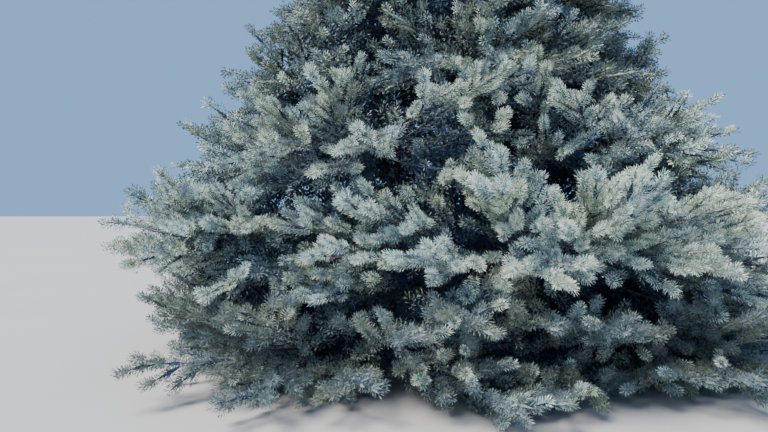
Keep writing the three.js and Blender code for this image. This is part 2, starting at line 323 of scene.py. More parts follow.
# %% [markdown]
# ## From arrays to meshes
# A tree has far too many parts to model by hand, and too many for one object each. Every kind of part
# is computed for all its copies at once, as arrays, and the arrays are joined into a few meshes.

# %% Join arrays into a piece
pieces = {}


def new_piece(name, parts, material, smooth=False):
    """Joins parts, each a pair of points and a list of arrays of faces, into one mesh that rides on the
    root body."""
    points = np.concatenate([part.reshape(-1, 3) for part, _ in parts])
    starts = np.cumsum([0] + [part.size // 3 for part, _ in parts])
    blocks = [faces + first for (_, listed), first in zip(parts, starts) for faces in listed]
    corners = np.concatenate([block.reshape(-1) for block in blocks])
    sizes = np.concatenate([np.full(len(block), block.shape[1]) for block in blocks])
    mesh = bpy.data.meshes.new(name)
    mesh.vertices.add(len(points))
    mesh.vertices.foreach_set("co", points.astype(np.float32).reshape(-1))
    mesh.loops.add(len(corners))
    mesh.loops.foreach_set("vertex_index", corners.astype(np.int32))
    mesh.polygons.add(len(sizes))
    mesh.polygons.foreach_set("loop_start", (np.cumsum(sizes) - sizes).astype(np.int32))
    mesh.polygons.foreach_set("use_smooth", np.full(len(sizes), smooth))
    mesh.update(calc_edges=True)
    mesh.materials.append(material)
    piece = bpy.data.objects.new(name, mesh)
    bpy.context.collection.objects.link(piece)
    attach(piece, "root")
    pieces[name] = piece
    print(f"{name}: {int((sizes - 2).sum())} triangles")
    return piece


# %% Define directions and faces
UP = np.array([0, 0, 1.0])
STEEP = 0.9


def unit(vectors):
    """Vectors scaled to a length of one."""
    return vectors / np.maximum(np.linalg.norm(vectors, axis=-1, keepdims=True), 1e-12)


def sides_of(along, above):
    """Two directions square to along and to each other: one to the side, one nearest to above."""
    across = unit(np.cross(along, above))
    return across, np.cross(across, along)


def circle(across, above, sides):
    """Directions round a ring: the cosine of an angle times above, plus its sine times across."""
    angle = (np.arange(sides) * 2 * math.pi / sides)[:, None]
    return np.cos(angle) * above[..., None, :] + np.sin(angle) * across[..., None, :]


def grid_faces(rows, columns):
    """Quads over rings of points, each ring closed on itself, seen from outside."""
    row, column = np.meshgrid(np.arange(rows - 1), np.arange(columns), indexing="ij")
    beside = (column + 1) % columns
    quads = [row * columns + column, row * columns + beside, (row + 1) * columns + beside]
    return np.stack([*quads, (row + 1) * columns + column], axis=-1).reshape(-1, 4)


def repeated(faces, count, points_each):
    """The same faces for many copies, one after another."""
    shifted = faces[None] + points_each * np.arange(count)[:, None, None]
    return shifted.reshape(-1, faces.shape[1])


# %% Define tubes and spindles
SPINDLE_SIDES = 3


def tubes(paths, radii, sides):
    """Round tubes along many paths. Each ring is the path's point plus a radius times the directions of
    a circle. The radii are one for each ring, or one for each point. A steep path is turned by Y, not up."""
    count, steps = paths.shape[:2]
    along = unit(np.gradient(paths, axis=1))
    steep = np.abs(along[:, :1, 2:]) > STEEP
    rim = circle(*sides_of(along, np.where(steep, [0.0, 1.0, 0.0], UP)), sides)
    if radii.ndim == 2:
        radii = radii[:, :, None]
    points = paths[:, :, None] + radii[..., None] * rim
    ring = np.arange(sides)[None]
    each = steps * sides
    walls = repeated(grid_faces(steps, sides), count, each)
    ends = repeated(np.concatenate([ring[:, ::-1], ring + each - sides]), count, each)
    return [(points, [walls, ends])]


def spindles(base, tip, widest, radius):
    """Closed spindles from base to tip, with one ring of points at a share of the length."""
    rim = circle(*sides_of(unit(tip - base), np.array([0.13, 0.21, 0.97])), SPINDLE_SIDES)
    belt = (base + (tip - base) * widest)[:, None] + rim * radius
    points = np.concatenate([base[:, None], belt, tip[:, None]], axis=1)
    side = np.arange(SPINDLE_SIDES)
    beside = (side + 1) % SPINDLE_SIDES
    last = SPINDLE_SIDES + 1
    foot = np.stack([0 * side, beside + 1, side + 1], axis=-1)
    top = np.stack([side + 1, beside + 1, 0 * side + last], axis=-1)
    return [(points, [repeated(np.concatenate([foot, top]), len(base), last + 1)])]


# %% [markdown]
# ## The bark
# Old bark on this tree is grey-brown and breaks into thin scales, about as wide as two fingers. Bump
# alone would leave the outline smooth, so the scales are real relief: a pattern of cells is wrapped
# round the trunk, high in the middle of each cell and low in the cracks. The boughs are greyer and
# smoother, and the twigs are grey-brown with a finer grain.

# %% Define the pattern of scales
SCATTER = 0.4


def scales(across, up, columns):
    """Cell pattern on a strip that closes on itself. A point lies somewhere in each cell, and the nine
    cells round about are searched: the result is the distance to the second nearest point less that to
    the nearest. across counts cells round the limb and up counts rows."""
    column = np.floor(across)
    row = np.floor(up)
    nearest = np.full(across.shape, np.inf)
    second = np.full(across.shape, np.inf)
    for step in range(9):
        there = column + step % 3 - 1
        above = row + step // 3 - 1
        seed = there % columns
        x = there + 0.5 + SCATTER * chance(seed, above) - across
        y = above + 0.5 + SCATTER * chance(seed + 31, above + 7) - up
        distance = np.hypot(x, y)
        second = np.minimum(second, np.maximum(nearest, distance))
        nearest = np.minimum(nearest, distance)
    return second - nearest


# %% Work out the trunk
TRUNK_TOP = 4.74
TRUNK_RADIUS = 0.092
TRUNK_TIP_RADIUS = 0.009
TRUNK_TAPER = 0.9
TRUNK_SWAY = 0.016
FLARE = 0.046
FLARE_HEIGHT = 0.11
ROOT_LOBES = 5
LOBE_DEPTH = 0.16
TRUNK_SIDES = 64
TRUNK_ROWS = 220
CLOSER_BELOW = 1.25
SCALES_ROUND = 16
SCALE_HEIGHT = 0.04
SCALE_RELIEF = 0.0035
CRACK_SLOPE = 3
SCALE_SINK = 0.6


def trunk_radius(height, angle=0):
    """A taper, plus a flare that dies away upwards, swollen into lobes above the roots."""
    taper = np.maximum(0, 1 - height / TRUNK_TOP) ** TRUNK_TAPER
    flare = FLARE * np.exp(-height / FLARE_HEIGHT)
    lobes = 1 + LOBE_DEPTH * np.exp(-height / FLARE_HEIGHT) * np.cos(ROOT_LOBES * angle)
    return (TRUNK_TIP_RADIUS + (TRUNK_RADIUS - TRUNK_TIP_RADIUS) * taper + flare) * lobes


def trunk_points():
    """Rings up the trunk. Each point stands out by the radius plus the relief of its scale."""
    height = TRUNK_TOP * (np.linspace(0, 1, TRUNK_ROWS) ** CLOSER_BELOW)[:, None]
    angle = (np.arange(TRUNK_SIDES) * 2 * math.pi / TRUNK_SIDES)[None]
    height, angle = np.broadcast_arrays(height, angle)
    cells = scales(angle / (2 * math.pi) * SCALES_ROUND, height / SCALE_HEIGHT, SCALES_ROUND)
    relief = SCALE_RELIEF * (np.minimum(cells * CRACK_SLOPE, 1) - SCALE_SINK)
    radius = trunk_radius(height, angle)
    radius = radius + relief * np.minimum(1, radius / TRUNK_RADIUS)
    turn = height / TRUNK_TOP * math.pi
    x = TRUNK_SWAY * np.sin(turn) + radius * np.cos(angle)
    y = TRUNK_SWAY * np.sin(2 * turn) + radius * np.sin(angle)
    return np.stack([x, y, height], axis=-1)


print("trunk", round(2 * trunk_radius(0.5) * 1000), "mm across at half a metre")

# %% Mix the bark
BARK_ROUGHNESS = 0.9
BARK_SPECULAR = 0.25
CRACK_RAMP = (0.35, 0.62)
FILM_COLOR = linear(118, 118, 104)
FILM_STRENGTH = 0.45
FILM_RAMP = (0.5, 0.7)
FILM_WIDER = 9
SMOOTHEST = 0.72
ROUGHER = 0.25


def bark_material(name, crack, face, scale, bump):
    """Pale faces, darker cracks, and a greenish-grey film in patches nine times as wide as the grain,
    all in object space. The bark shows where the film leaves it bare."""
    material, shader, start = new_material(name, BARK_ROUGHNESS)
    grain = noise_at(start, scale, detail=6, roughness=0.65)
    bare = 1 - noise_at(start, scale / FILM_WIDER, detail=3).ramp(*FILM_RAMP) * FILM_STRENGTH
    feed(shader, "Base Color", bare.mix(FILM_COLOR, grain.ramp(*CRACK_RAMP).mix(crack, face)))
    feed(shader, "Roughness", grain * ROUGHER + SMOOTHEST)
    feed(shader, "Normal", start.node("ShaderNodeBump", {}, {"Height": grain, "Distance": bump}))
    shader.inputs["Specular IOR Level"].default_value = BARK_SPECULAR
    return material


trunk_bark = bark_material("trunk_bark", linear(52, 41, 36), linear(128, 108, 94), 42, 0.004)
bough_bark = bark_material("bough_bark", linear(48, 50, 56), linear(92, 92, 96), 90, 0.002)
twig_bark = bark_material("twig_bark", linear(64, 59, 56), linear(108, 98, 88), 160, 0.001)
bud_scales = bark_material("bud_scales", linear(156, 112, 76), linear(222, 180, 132), 220, 0.0006)

# %% Raise the trunk
ring = np.arange(TRUNK_SIDES)[None]
trunk_ends = np.concatenate([ring[:, ::-1], ring + (TRUNK_ROWS - 1) * TRUNK_SIDES])
trunk_parts = [(trunk_points(), [grid_faces(TRUNK_ROWS, TRUNK_SIDES), trunk_ends])]
trunk = new_piece("trunk_with_bark", trunk_parts, trunk_bark, smooth=True)
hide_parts("trunk")

# %% [markdown]
# ## The boughs
# A bough sags under its needles and turns up at its end. Each could be a curve with a bevel, but tubes
# that are computed together make one mesh at once, and every ring can have its own low lumps. In the
# solids a bough ends where its mass of foliage begins. Here it runs on as the stem inside the mass.

# %% Grow the boughs
STEM_END = 0.8
STEM_TIP = 0.95
BOUGH_RADIUS = 0.027
STEM_TIP_RADIUS = 0.008
STEM_THINNING = 0.7
STEM_STEPS = 32
STEM_SIDES = 8
LUMPS = 0.07


def stem_radius(mass, share):
    """Thickest at the trunk, thinner on the shorter boughs, and down to a twig's thickness at the end."""
    root = BOUGH_RADIUS * np.sqrt(span_of(mass["tier"]) / CONE_RADIUS)
    inner = root + (STEM_TIP_RADIUS - root) * np.minimum(share / STEM_END, 1)
    beyond = np.maximum(share - STEM_END, 0) / (STEM_TIP - STEM_END)
    return inner * (1 - STEM_THINNING * beyond)


each_mass = {name: column[:, None] for name, column in masses.items()}
stem_shares = np.linspace(0, STEM_TIP, STEM_STEPS)[None]
point_number = np.arange(STEM_STEPS * STEM_SIDES).reshape(1, STEM_STEPS, STEM_SIDES)
lumps = 1 + LUMPS * chance(point_number, masses["number"][:, None, None])
stem_radii = stem_radius(each_mass, stem_shares)[:, :, None] * lumps
stem_parts = tubes(stem_point(each_mass, stem_shares), stem_radii, STEM_SIDES)
boughs = new_piece("boughs_with_bark", stem_parts, bough_bark, smooth=True)
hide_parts(*[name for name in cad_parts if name.startswith("bough_")])

# %% [markdown]
# ## Twigs
# From each stem, twigs run out to the rim in rows, and each ends in a fan of shoots. The solids have the
# three main rows of each mass. More rows stand between them here, by the same rule, so the crown closes
# as it does in the photograph. The rows that end well inside the rim carry older, darker growth. Level
# rows would leave long dark bands between the layers, so the added rows rise and sink in waves round
# the tree, which breaks the bands into short gaps.

# %% List the rows
# The widest row of a mass in each tier has this many twigs. Each added row is how many twigs it has
# fewer, its level above or below the stem in tiers, how far out it ends, how far it spreads, and how far
# out its twigs leave the stem.
WIDEST_ROW = (4, 4, 4, 4, 4, 4, 3, 3, 2)
ADDED_ROWS = (
    (1, 0.26, 0.97, 0.86, 1),
    (0, -0.25, 0.96, 0.96, 1),
    (0, 0.2, 0.89, 0.86, 1),
    (1, -0.3, 0.88, 0.8, 1),
    (0, 0.0, 0.88, 0.9, 1),
    (0, 0.5, 0.88, 0.96, 1),
    (1, 0.06, 0.72, 0.86, 1),
    (0, -0.5, 0.8, 0.86, 1),
    (1, 0.5, 0.72, 0.86, 1),
    (1, 0.26, 0.55, 0.86, 1),
    (1, -0.12, 0.52, 0.86, 1),
    (1, 0.52, 0.5, 0.86, 1),
    (2, -0.3, 0.4, 0.86, 1),
    (2, 0.3, 0.34, 0.86, 1),
    (2, 0.14, 0.98, 1.0, 0.25),
    (2, -0.22, 0.95, 0.98, 0.3),
    (2, 0.42, 0.92, 0.96, 0.25),
    (1, -0.4, 0.94, 0.84, 1),
    (2, 0.5, 0.36, 0.86, 1),
    (1, -0.45, 0.62, 0.86, 1),
)
LOWEST_ROWS = {
    0: (
        (0, -0.44, 1.08, 0.9, 1),
        (0, -0.4, 0.86, 0.9, 1),
        (1, -0.36, 0.68, 0.86, 1),
        (1, -0.36, 0.5, 0.86, 1),
    ),
    1: (
        (0, 0.1, 1.0, 0.9, 1),
        (1, -0.1, 0.98, 0.7, 1),
        (0, 0.36, 0.97, 0.8, 1),
    ),
}


def rows_of(tier):
    """Rows of twigs, each with how many there are, their level, how far out they end, how far they
    spread, and how far out they leave the stem. The rows of the solids come first."""
    wide = WIDEST_ROW[tier]
    rows = [(wide, 0.24, 1.0, 0.95, 1), (wide - 1, -0.24, 0.97, 0.74, 1), (2, 0.34, 0.74, 0.8, 1)]
    for fewer, level, end, widest, root in ADDED_ROWS + LOWEST_ROWS.get(tier, ()):
        few = max(2, wide - fewer)
        rows.append((few, level, end, widest * few / (few - 1), root))
    return rows


print(sum(row[0] for row in rows_of(1)), "twigs in each mass of the second tier")

# %% Lay out the twigs of a mass
TWIGS_END = 0.76
TWIGS_SPAN = 0.26
SPRAY_ROLL = 0.75
ROLL_JITTER = 0.3
ROUNDING = 0.07
END_JITTER = 0.06
LEVEL_JITTER = 0.2
SOURCE_ROWS = 3
SOURCE_JITTER = 0.1
ADDED_JITTER = 0.5
ROW_WANDER = 0.05
TWIG_WANDER = 0.07
LAYER_SWING = 0.14
SMALLER_SWING = 0.6


def layer_swing(tier, azimuth):
    """How far the added rows rise or sink, in tiers: a wave with five crests round the tree plus a
    smaller one with eleven. Both turn from tier to tier, by amounts that keep the gaps in front short."""
    large = np.sin(5 * azimuth + 5.2 * tier + 4)
    small = np.sin(11 * azimuth - 2 * tier + 3)
    return LAYER_SWING * (large + SMALLER_SWING * small)


def twigs_of(mass):
    """The rule of branching for one mass: where each twig leaves the stem and where it ends. The twigs of
    a row share its sector evenly, end on a rounded rim, and roll to one side and the other by turns. The
    numbers added to j keep the draws for one thing apart from those for another."""
    tier, index = int(mass["tier"]), int(mass["index"])
    rows = []
    for r, (count, level, end, spread, root) in enumerate(rows_of(tier)):
        j = np.arange(count)
        seed = tier * 100 + index * 10 + r
        added = r >= SOURCE_ROWS
        jitter = ADDED_JITTER if added else SOURCE_JITTER
        share = ((2 * j + 1 + jitter * chance(seed, j)) / count - 1) * spread
        azimuth = (mass["from"] + mass["to"] + share * (mass["to"] - mass["from"])) / 2
        wander = np.zeros(count)
        if added:
            wander = ROW_WANDER * chance(seed, 130) + TWIG_WANDER * chance(seed, j + 110)
            wander = wander + layer_swing(tier, azimuth)
        rolled = np.where(j % 2, 1, -1) * (1 - ROLL_JITTER + ROLL_JITTER * chance(seed, j + 90))
        rows.append({
            "azimuth": azimuth,
            "end": end * (1 + END_JITTER * chance(seed, j + 50)) * (1 - ROUNDING * share**2),
            "level": level * (1 + LEVEL_JITTER * chance(seed, j + 70)) + wander,
            "leaves": root * end * (TWIGS_END - TWIGS_SPAN * np.abs(share)),
            "roll": SPRAY_ROLL * rolled,
        })
    table = joined(rows)
    table["mass"] = np.full(len(table["end"]), mass["number"])
    return table


# %% Place every twig
NEEDLE_LENGTH = 0.025
PAST_THE_TIP = 0.7
ROOM_SHARE = 0.03
TWIG_ELBOW = 0.35
SPRAY_LENGTH = 0.15
SPRAY_SHARE = 0.21
STEM_AHEAD = 0.02

twigs = joined([twigs_of(picked(masses, m)) for m in masses["number"]])
carrier = picked(masses, twigs["mass"])
twigs["tier"] = carrier["tier"]
twigs["reach"] = carrier["reach"]
twig_foot = stem_point(carrier, twigs["leaves"])
stem_way = unit(stem_point(carrier, twigs["leaves"] + STEM_AHEAD) - twig_foot)
rim_point = crown_point(twigs["tier"] + twigs["level"], twigs["end"], twigs["azimuth"], twigs["reach"])
outwards = unit(rim_point - twig_foot)
low, high = np.array(cad_box[0]), np.array(cad_box[1])
room = ROOM_SHARE * (high - low) - NEEDLE_LENGTH
twig_tip = np.clip(rim_point - outwards * NEEDLE_LENGTH * PAST_THE_TIP, low - room, high + room)
twig_length = np.linalg.norm(twig_tip - twig_foot, axis=-1)
twig_elbow = twig_foot + unit(outwards + stem_way) * (TWIG_ELBOW * twig_length)[:, None]
fan_length = SPRAY_LENGTH + SPRAY_SHARE * span_of(twigs["tier"])
print(len(twig_length), "twigs,", round(twig_length.min(), 2), "to", round(twig_length.max(), 2), "m long")

# %% Follow a twig
CURL = 0.06
GROUND_CLEARANCE = 0.038
SETTLING = 0.04
TWIG_STEPS = 5
TWIG_SIDES = 3
TWIG_FOOT_RADIUS = 0.0058
TWIG_TIP_RADIUS = 0.0022


def settled(points):
    """Lifts what would sink into the ground, so that low twigs lie on it: the height over the clearance
    becomes half the sum of itself and of the long side of a triangle with it and the settling."""
    over = points[..., 2] - GROUND_CLEARANCE
    height = GROUND_CLEARANCE + (over + np.hypot(over, SETTLING)) / 2
    return np.concatenate([points[..., :2], height[..., None]], axis=-1)


def along_twig(share, which=slice(None)):
    """Points and directions on the twigs: a curve from foot to tip that is pulled towards the elbow,
    plus a cubic that sags along the way and curls up near the tip."""
    s = share[..., None]
    a, b, c = [x[which][:, None] if s.ndim == 3 else x[which] for x in (twig_foot, twig_elbow, twig_tip)]
    point = (1 - s) ** 2 * a + 2 * s * (1 - s) * b + s**2 * c
    direction = (1 - s) * (b - a) + s * (c - b)
    lift = np.array([0, 0, CURL])
    return settled(point + lift * (s**3 - s)), unit(direction * 2 + lift * (3 * s**2 - 1))


twig_shares = np.tile(np.linspace(0, 1, TWIG_STEPS), (len(twig_length), 1))
twig_radii = TWIG_FOOT_RADIUS + (TWIG_TIP_RADIUS - TWIG_FOOT_RADIUS) * twig_shares
twig_parts = tubes(along_twig(twig_shares)[0], twig_radii, TWIG_SIDES)
print("lowest twig", round(float(twig_parts[0][0][..., 2].min()), 3), "m above the ground")

# %% [markdown]
# ## Fans of branchlets
# The outer part of a twig carries branchlets on alternate sides, like the barbs of a feather, longest in
# the middle. One flat fan copied along every twig would show, so each branchlet has its own angle,
# length and lean, and each fifth hangs down. The branchlets of twigs above the middle of their layer
# rise, and those of twigs below it lie level, so a layer is domed on top and flat beneath.

# %% Space the branchlets
BRANCHLET_SPACING = 0.052
FEWEST_BRANCHLETS = 4
MOST_BRANCHLETS = 14
FIRST_PLACE = 0.55
PLACE_JITTER = 0.25
FAN_FILLED = 0.95
LONGEST_FAN = 0.92
dice = np.random.default_rng(7)


def fan_outline(along):
    """Half the width of a fan at a share of its length: an arch that narrows towards the tip."""
    return np.sin(math.pi * (0.2 + 0.6 * along)) * (1.05 - 0.3 * along**2)


in_fan = np.clip(np.round(fan_length / BRANCHLET_SPACING), FEWEST_BRANCHLETS, MOST_BRANCHLETS).astype(int)
fan, place = np.nonzero(np.arange(MOST_BRANCHLETS)[None] < in_fan[:, None])
jitter = dice.uniform(-PLACE_JITTER, PLACE_JITTER, len(fan))
along = (place + FIRST_PLACE + jitter) / in_fan[fan] * FAN_FILLED
fan_share = np.minimum(fan_length / twig_length, LONGEST_FAN)
base, ahead = along_twig(1 - fan_share[fan] * (1 - along), fan)
print(len(fan), "branchlets,", round(len(fan) / len(twig_length), 1), "to a fan")

# %% Aim the branchlets
SPRAY_WIDTH = 0.6
FLATTER = 0.4
SHOWN = 0.9
LEAN = (-0.4, 0.55)
SPLAY = 50
SPLAY_FALL = 18
LENGTH_RANGE = (0.85, 1.2)
ONWARD = 0.3
HANGING_EACH = 5
HANGING_UP_TO = 0.8
HANGING_LEAN = -0.95
HANGING_LENGTH = 0.75
RISE = 0.16
RISE_BY_LEVEL = 0.6
LEVEL_LIMIT = 0.4

across, above = sides_of(ahead, UP)
side = np.where((place + fan) % 2, 1, -1)
roll = twigs["roll"][fan] * np.where(twigs["end"][fan] > SHOWN, FLATTER, 1)
flat = across * np.cos(roll)[:, None] + above * np.sin(roll)[:, None]
raised = np.cross(flat, ahead)
hanging = (place % HANGING_EACH == 2) & (along < HANGING_UP_TO)
lean = np.where(hanging, HANGING_LEAN, dice.uniform(*LEAN, len(fan)))
angle = np.radians(SPLAY - SPLAY_FALL * along)[:, None]
outward = flat * (side * np.cos(lean))[:, None] + raised * np.sin(lean)[:, None]
away = unit(np.cos(angle) * ahead + np.sin(angle) * outward)
half_width = SPRAY_WIDTH / 2 * fan_length[fan] * fan_outline(along)
length = half_width / np.sin(angle[:, 0]) * dice.uniform(*LENGTH_RANGE, len(fan))
length = length * np.where(hanging, HANGING_LENGTH, 1)
middle = base + away * (length / 2)[:, None]
level = np.clip(twigs["level"][fan], -LEVEL_LIMIT, LEVEL_LIMIT)
rise = UP * (RISE + RISE_BY_LEVEL * level)[:, None]
end = settled(middle + unit(away + ONWARD * ahead + rise) * (length / 2)[:, None])
print("branchlets of", round(length.min(), 3), "to", round(length.max(), 3), "m")

# %% [markdown]
# ## Shoots
# A shoot is one year's growth, as long as a hand is wide, and wears its needles for years. A branchlet
# has its newest shoot at the tip, older growth behind it, and side shoots where one year's growth meets
# the next. All shoots go into one table: where each starts and ends, which twig it stands on, and
# whether it is a tip, a side shoot or older growth. Each step below then works on the whole table.

# %% Collect the shoots of the branchlets
TIP, SIDE, OLDER = 0, 1, 2
SHOOT_LENGTH = 0.066
SHOOT_SHARE = 0.005
INNER_SHARE = 0.8
LONGER_INSIDE = 2
NEWEST_FROM = 0.03
OLDER_FROM = 0.25
OLDER_OVERLAP = 0.1
FORK_FROM = 0.12
FORK_STAGGER = 0.06
FORK_BACK = 0.8
FORK_TILT = (-0.5, 0.6)
FORK_LENGTH = (0.7, 1.0)
FORK_PARTS = (0.6, 0.55, 0.3)
collected = []


def add_shoots(base, tip, twig, age):
    """Lists shoots by where they start and end, the twig they stand on, and their age."""
    collected.append({"base": base, "tip": tip, "twig": twig, "age": np.full(len(twig), age)})


def between(first, second, share):
    """Points a share of the way from first to second."""
    return first + (second - first) * np.asarray(share)[..., None]


twig_shoot = SHOOT_LENGTH + SHOOT_SHARE * span_of(twigs["tier"])
out_share = np.hypot(middle[:, 0], middle[:, 1]) / (crown_radius(middle[:, 2]) * twigs["reach"][fan])
shoot = twig_shoot[fan] * np.where(out_share < INNER_SHARE, LONGER_INSIDE, 1)
newest = np.maximum(1 - shoot / length, NEWEST_FROM)
add_shoots(between(base, end, newest), end, fan, TIP)
old = newest > OLDER_FROM
add_shoots(base[old], between(base, end, newest + OLDER_OVERLAP)[old], fan[old], OLDER)
outwards_part, sideways_part, ahead_part = FORK_PARTS
for years in (1, 2, 3):
    for turn in (1, -1):
        node_share = 1 - years * shoot / length
        forked = node_share > FORK_FROM - FORK_STAGGER * turn
        node = between(base, end, node_share)[forked]
        sideways = ahead if turn > 0 else unit(away - ahead * FORK_BACK)
        tilted = raised * dice.uniform(*FORK_TILT, len(fan))[:, None]
        heading = outwards_part * away + sideways_part * sideways + ahead_part * ahead + tilted + rise
        reached = (shoot * dice.uniform(*FORK_LENGTH, len(shoot)))[forked]
        tips = settled(node + unit(heading)[forked] * reached[:, None])
        add_shoots(node, tips, fan[forked], SIDE)
print(sum(len(table["age"]) for table in collected), "shoots on branchlets")

# %% Clothe the twigs themselves
# Each of the three side shoots at a twig's tip is how far it points to the side, and how far up.
TIP_SIDES = ((-1, 0.35), (1, 0.35), (0, 0.9))
TIP_LONGER = 1.1
SIDES_SHORTER = 0.85
YEARS_CLOSER = 0.95
YEARS_OVERLAP = 0.01
MOST_YEARS = 20
BARE_FOOT = 0.08

every = np.arange(len(twig_length))
tip_start = 1 - twig_shoot * TIP_LONGER / twig_length
node, twig_way = along_twig(tip_start)
add_shoots(node, along_twig(np.ones(len(every)))[0], every, TIP)
twig_across, twig_above = sides_of(twig_way, UP)
for turn, raise_by in TIP_SIDES:
    heading = unit(twig_way + twig_across * turn + twig_above * raise_by)
    add_shoots(node, settled(node + heading * (twig_shoot * SIDES_SHORTER)[:, None]), every, SIDE)
for years in range(MOST_YEARS):
    far = tip_start - years * twig_shoot * YEARS_CLOSER / twig_length
    near = far - twig_shoot / twig_length
    here = np.flatnonzero(near > BARE_FOOT)
    reached = along_twig(far[here] + YEARS_OVERLAP, here)[0]
    add_shoots(along_twig(near[here], here)[0], reached, here, OLDER)
shoots = joined(collected)
print(len(shoots["age"]), "shoots before thinning")

# %% [markdown]
# ## The leader
# The topmost shoot runs on from the trunk, with small whorls of arms round it, shorter and steeper
# towards the top. There are few of them, so a plain list gives each whorl its own length and slope. The
# lowest stand on the last of the trunk and hide where the two meet.

# %% Grow the leader
# Each whorl is its height above the trunk's top, how many arms it has, their length and their slope.
WHORLS = (
    (-0.17, 5, 0.27, 0.3),
    (-0.1, 4, 0.25, 0.4),
    (-0.03, 5, 0.22, 0.55),
    (0.04, 4, 0.24, 0.4),
    (0.1, 4, 0.21, 0.5),
    (0.17, 3, 0.18, 0.75),
    (0.23, 4, 0.14, 0.85),
    (0.29, 2, 0.13, 1.1),
    (0.34, 3, 0.1, 1.15),
)
LEADER_RADIUS = 0.009
LEADER_SHOOTS = 4
SHOOTS_ON_TRUNK = 2
LEADER_OVERLAP = 1.1
RINGS = 8
ARM_RADIUS = 0.003
ARM_STAGGER = 0.015
WHORL_TURN = 0.4
FORK_SPLAY = 0.8
FORK_SHORTER = 0.38
BUD_ROOM = 0.02
leader_foot = np.array([0, 0, TRUNK_TOP])
leader_top = np.array([0, 0, TREE_HEIGHT - BUD_ROOM])


def leader_arm(height, length, slope, azimuth):
    """One arm of a whorl: the points of its stem, and its shoots, two along it and one to each side."""
    way = np.array([math.cos(azimuth), math.sin(azimuth), 0]) * math.cos(slope) + UP * math.sin(slope)
    foot = leader_foot + UP * height
    head = foot + way * (length - BUD_ROOM)
    fork = between(foot, head, 0.5)
    beside = np.cross(way, UP)
    ways = [unit(way + beside * FORK_SPLAY * turn) for turn in (-1, 1)]
    aside = [[fork, fork + side_way * length * FORK_SHORTER] for side_way in ways]
    inner = [between(foot, head, 0.08), between(foot, head, 0.55)]
    stem = [foot, foot + way * length * 0.4, foot + way * length * 0.7, head]
    return stem, [[fork, head], inner, *aside]


arms = []
for whorl, (height, count, arm_length, slope) in enumerate(WHORLS):
    for i in range(count):
        azimuth = FRONT + 2 * math.pi * (i + WHORL_TURN * whorl) / count
        arms.append(leader_arm(height + ARM_STAGGER * i, arm_length, slope, azimuth))
pairs = [pair for _, listed in arms for pair in listed]
for step in range(-SHOOTS_ON_TRUNK, LEADER_SHOOTS):
    shares = np.array([step, step + LEADER_OVERLAP]) / LEADER_SHOOTS
    pairs.append(between(leader_foot, leader_top, shares))
leader_shoots = np.array(pairs)
arm_paths = np.array([stem for stem, _ in arms])
leader_path = between(leader_foot, leader_top, np.linspace(0, 1, RINGS))[None]
leader_parts = tubes(arm_paths, np.full((1, 4), ARM_RADIUS), 4)
leader_parts += tubes(leader_path, np.linspace(LEADER_RADIUS, ARM_RADIUS, RINGS)[None], RINGS)
shoots = joined([shoots, {
    "base": leader_shoots[:, 0],
    "tip": leader_shoots[:, 1],
    "twig": np.full(len(leader_shoots), len(every)),
    "age": np.full(len(leader_shoots), TIP),
}])
print(len(arms), "arms and", len(leader_shoots), "shoots on the leader")

# %% [markdown]
# ## What each shoot wears
# The newest shoots at the crown's surface wear silver wax. Behind them the wax wears off, so the needles
# go from blue to green, and the green is also darker deeper in as painted shade. Deep in the crown the
# shade kind is a dark blue, which is painted shade, and a few are dead and brown. One colour that fades
# inwards would look airbrushed, so each shoot is dealt a kind, by its age and depth and by luck. The
# photograph is brightest where the second layer catches the light, and duller in the skirt, at the top
# and to the sides. So a painted light, by tier and side, sets how many of the outer shoots are silver,
# and where it is low more of them are a shaded blue, a darker copy of the blue that is painted shade.

# %% Measure where the shoots stand
# The distances from the camera, in metres, where one level of detail ends and the next begins.
CLOSE_UP = (3.3, 4.4)
NEAR_TRUNK = 0.1
shoots["tier"] = np.append(twigs["tier"], len(MASSES_IN_TIER))[shoots["twig"]]
centre = (shoots["base"] + shoots["tip"]) / 2
from_trunk = np.hypot(centre[:, 0], centre[:, 1])
radius_there = crown_radius(centre[:, 2]) * np.append(twigs["reach"], 1.0)[shoots["twig"]]
depth = radius_there - from_trunk
to_the_side = np.abs(centre[:, 0]) / np.maximum(from_trunk, NEAR_TRUNK)
shoots["detail"] = np.digitize(np.linalg.norm(centre - np.array(EYE), axis=-1), CLOSE_UP)
print("shoots at each level of detail:", np.bincount(shoots["detail"]))

# %% Deal out the kinds
# Each depth is a part in metres and a share of the crown's radius there.
SHELL_DEPTH = (0.1, 0.09)
GREEN_DEPTH = (0.2, 0.13)
# How much painted light each tier gets, and how much it drops towards each side.
PAINTED_LIGHT_TIERS = (0, 1, 2, 3, 4)
PAINTED_LIGHT = (0.36, 1.38, 1.12, 0.6, 0.4)
LESS_LIGHT_TO_THE_LEFT = 0.56
LESS_LIGHT_TO_THE_RIGHT = 0.8
WAXY_SHARE = 0.54
LIT_BLUE_SHARE = 0.85
OLD_IN_SHELL = 0.4
DEAD_SHARE = 0.05

luck = dice.uniform(0, 1, len(depth))
# Painted light: a share by tier, lower to the left and lower still to the right, that sets how many outer
# shoots are silver or shaded blue.
less = np.where(centre[:, 0] > 0, LESS_LIGHT_TO_THE_RIGHT, LESS_LIGHT_TO_THE_LEFT)
painted_light = np.interp(shoots["tier"], PAINTED_LIGHT_TIERS, PAINTED_LIGHT) - less * to_the_side
young = shoots["age"] != OLDER
# The green and shade kinds are darker the deeper they stand: partly older needles, partly painted shade.
kind = np.where(depth < GREEN_DEPTH[0] + GREEN_DEPTH[1] * radius_there, "green", "shade")
shell = SHELL_DEPTH[0] + SHELL_DEPTH[1] * radius_there
kind = np.where((depth < shell) & (young | (luck < OLD_IN_SHELL)), "blue", kind)
